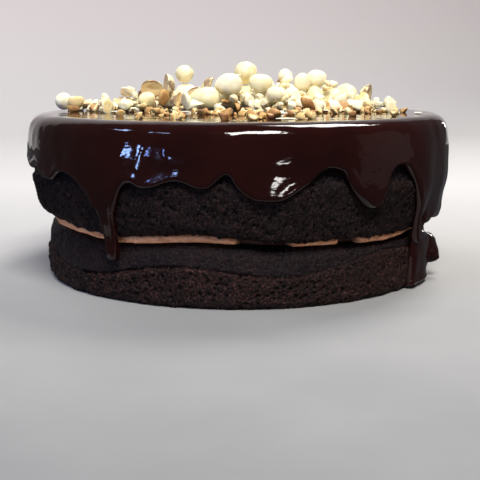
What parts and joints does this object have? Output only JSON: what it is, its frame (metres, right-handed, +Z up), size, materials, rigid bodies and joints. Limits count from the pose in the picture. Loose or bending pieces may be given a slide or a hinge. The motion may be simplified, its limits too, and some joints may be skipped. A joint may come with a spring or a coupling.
{
  "type": "chocolate cake",
  "caption": "Round two-layer chocolate cake with a thin filling, a glossy poured glaze that drips down its side, and a heap of whole, halved and chopped hazelnuts on top.",
  "frame": {"origin": "centre of the flat base that the cake rests on", "axes": "+Z up through the layers, -Y towards the side that the picture shows, +X to its right"},
  "size_m": [0.2165, 0.2165, 0.1075],
  "materials": {
    "sponge": "matte, open dark crumb with a smoother baked crust",
    "buttercream": "soft satin, spread, light brown",
    "ganache": "high gloss, poured, very dark brown",
    "hazelnut": "blanched, satin, ivory to golden with brown skin in places"
  },
  "bodies": {
    "root": {"filling": "buttercream", "glaze": "ganache", "hazelnut_chunk_01": "hazelnut", "hazelnut_chunk_02": "hazelnut", "hazelnut_chunk_03": "hazelnut", "hazelnut_chunk_04": "hazelnut", "hazelnut_chunk_05": "hazelnut", "hazelnut_chunk_06": "hazelnut", "hazelnut_chunk_07": "hazelnut", "hazelnut_half_01": "hazelnut", "hazelnut_half_02": "hazelnut", "hazelnut_half_03": "hazelnut", "hazelnut_half_04": "hazelnut", "hazelnut_half_05": "hazelnut", "hazelnut_half_06": "hazelnut", "hazelnut_half_07": "hazelnut", "hazelnut_half_08": "hazelnut", "hazelnut_half_09": "hazelnut", "hazelnut_half_10": "hazelnut", "hazelnut_whole_01": "hazelnut", "hazelnut_whole_02": "hazelnut", "hazelnut_whole_03": "hazelnut", "hazelnut_whole_04": "hazelnut", "hazelnut_whole_05": "hazelnut", "hazelnut_whole_06": "hazelnut", "hazelnut_whole_07": "hazelnut", "hazelnut_whole_08": "hazelnut", "hazelnut_whole_09": "hazelnut", "hazelnut_whole_10": "hazelnut", "hazelnut_whole_11": "hazelnut", "hazelnut_whole_12": "hazelnut", "hazelnut_whole_13": "hazelnut", "hazelnut_whole_14": "hazelnut", "hazelnut_whole_15": "hazelnut", "hazelnut_whole_16": "hazelnut", "hazelnut_whole_17": "hazelnut", "hazelnut_whole_18": "hazelnut", "hazelnut_whole_19": "hazelnut", "hazelnut_whole_20": "hazelnut", "hazelnut_whole_21": "hazelnut", "hazelnut_whole_22": "hazelnut", "hazelnut_whole_23": "hazelnut", "hazelnut_whole_24": "hazelnut", "hazelnut_whole_25": "hazelnut", "hazelnut_whole_26": "hazelnut", "hazelnut_whole_27": "hazelnut", "hazelnut_whole_28": "hazelnut", "hazelnut_whole_29": "hazelnut", "hazelnut_whole_30": "hazelnut", "hazelnut_whole_31": "hazelnut", "lower_sponge": "sponge", "upper_sponge": "sponge"}
  },
  "joints": []
}
